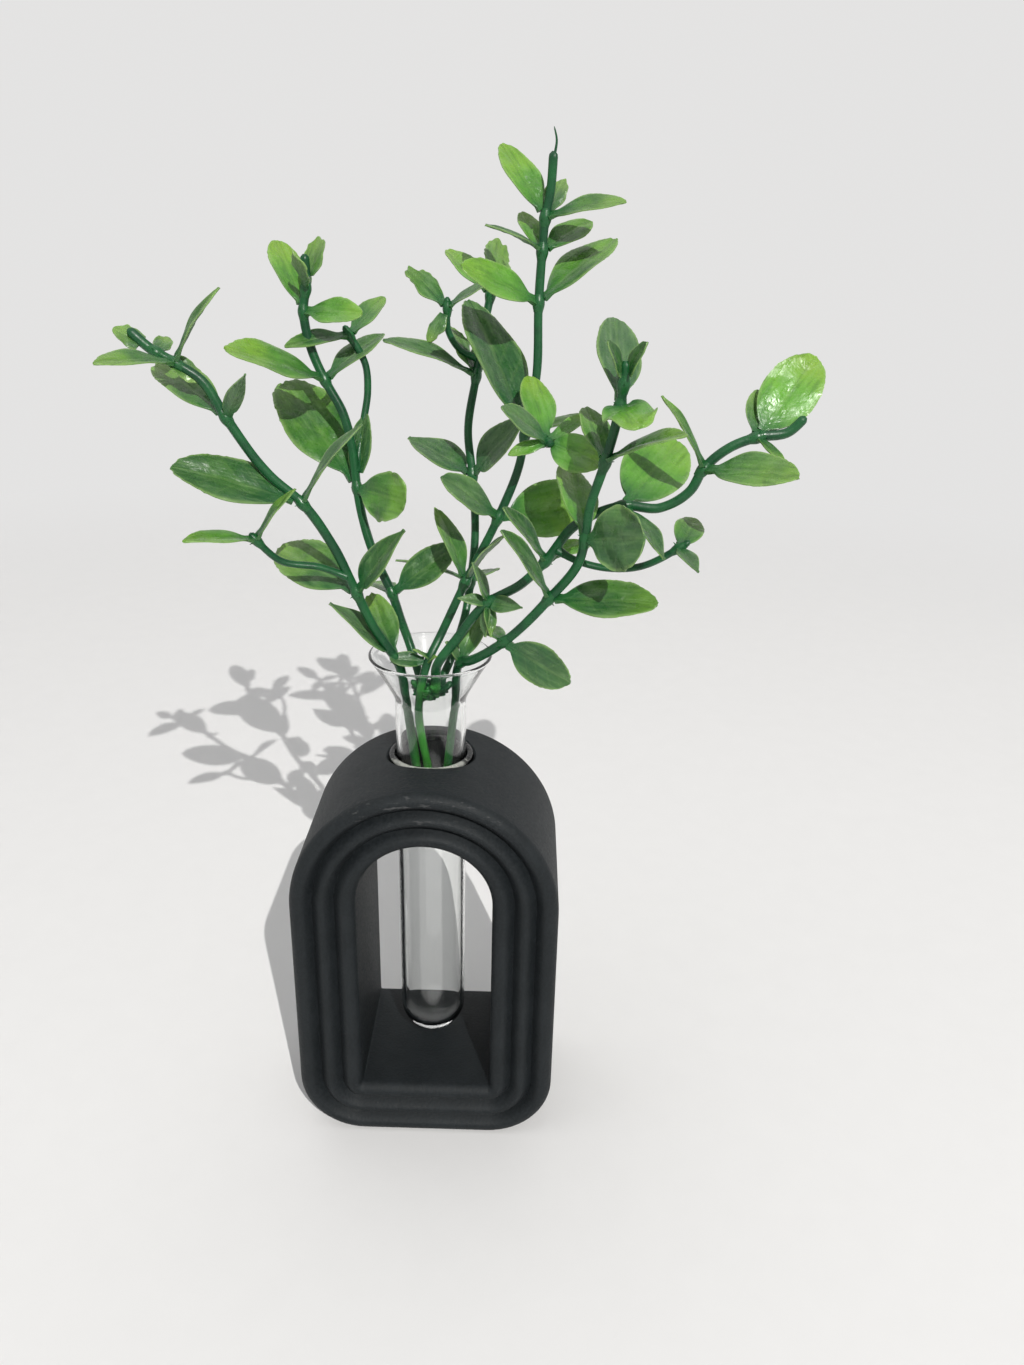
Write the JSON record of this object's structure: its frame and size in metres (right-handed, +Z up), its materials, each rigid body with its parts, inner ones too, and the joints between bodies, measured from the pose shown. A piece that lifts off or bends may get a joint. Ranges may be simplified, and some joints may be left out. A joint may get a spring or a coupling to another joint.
{
  "type": "arch vase",
  "caption": "Ribbed arch stand with a window through it and a flared glass tube in its crown, which holds a bunch of moulded greenery.",
  "frame": {"origin": "on the ground under the middle of the arch", "axes": "+Z up along the tube, -Y out of the ribbed front, +X to the right seen from the front"},
  "size_m": [0.1703, 0.1005, 0.2738],
  "materials": {
    "matte_black": "matte print with fine layer lines",
    "clear_glass": "clear and polished",
    "clear_silicone": "soft and half clear",
    "stem_green": "satin moulded plastic",
    "leaf_green": "satin moulded plastic, lime towards the tips"
  },
  "bodies": {
    "arch": {"arch_frame": "matte_black"},
    "ring": {"seat_ring": "clear_silicone"},
    "tube": {"glass_tube": "clear_glass"},
    "greenery": {"centre_stem": "stem_green", "left_front_stem": "stem_green", "left_rear_stem": "stem_green", "rear_stem": "stem_green", "right_front_stem": "stem_green", "right_long_stem": "stem_green", "bunch_knot": "stem_green", "centre_leaves_1": "leaf_green", "centre_leaves_2": "leaf_green", "centre_leaves_3": "leaf_green", "centre_leaves_4": "leaf_green", "centre_leaves_5": "leaf_green", "centre_leaves_6": "leaf_green", "centre_leaves_7": "leaf_green", "left_front_leaves_1": "leaf_green", "left_front_leaves_2": "leaf_green", "left_front_leaves_3": "leaf_green", "left_front_leaves_4": "leaf_green", "left_front_leaves_5": "leaf_green", "left_front_leaves_6": "leaf_green", "left_front_leaves_7": "leaf_green", "left_rear_leaves_1": "leaf_green", "left_rear_leaves_2": "leaf_green", "left_rear_leaves_3": "leaf_green", "left_rear_leaves_4": "leaf_green", "left_rear_leaves_5": "leaf_green", "left_rear_leaves_6": "leaf_green", "rear_leaves_1": "leaf_green", "rear_leaves_2": "leaf_green", "rear_leaves_3": "leaf_green", "rear_leaves_4": "leaf_green", "rear_leaves_5": "leaf_green", "right_front_leaves_1": "leaf_green", "right_front_leaves_2": "leaf_green", "right_front_leaves_3": "leaf_green", "right_front_leaves_4": "leaf_green", "right_front_leaves_5": "leaf_green", "right_front_leaves_6": "leaf_green", "right_front_leaves_7": "leaf_green", "right_long_leaves_1": "leaf_green", "right_long_leaves_2": "leaf_green", "right_long_leaves_3": "leaf_green", "right_long_leaves_4": "leaf_green", "right_long_leaves_5": "leaf_green", "right_long_leaves_6": "leaf_green"}
  },
  "joints": [
    {"name": "tube_turn", "type": "hinge", "parent": "arch", "child": "ring", "pos_m": [0, 0.0065, 0.1115], "axis": [0, 0, 1], "continuous": true},
    {"name": "tube_lift", "type": "slide", "parent": "ring", "child": "tube", "axis": [0, 0, 1], "range_m": [0, 0.1]},
    {"name": "greenery_lift", "type": "slide", "parent": "tube", "child": "greenery", "axis": [0, 0, 1], "range_m": [0, 0.04]}
  ]
}
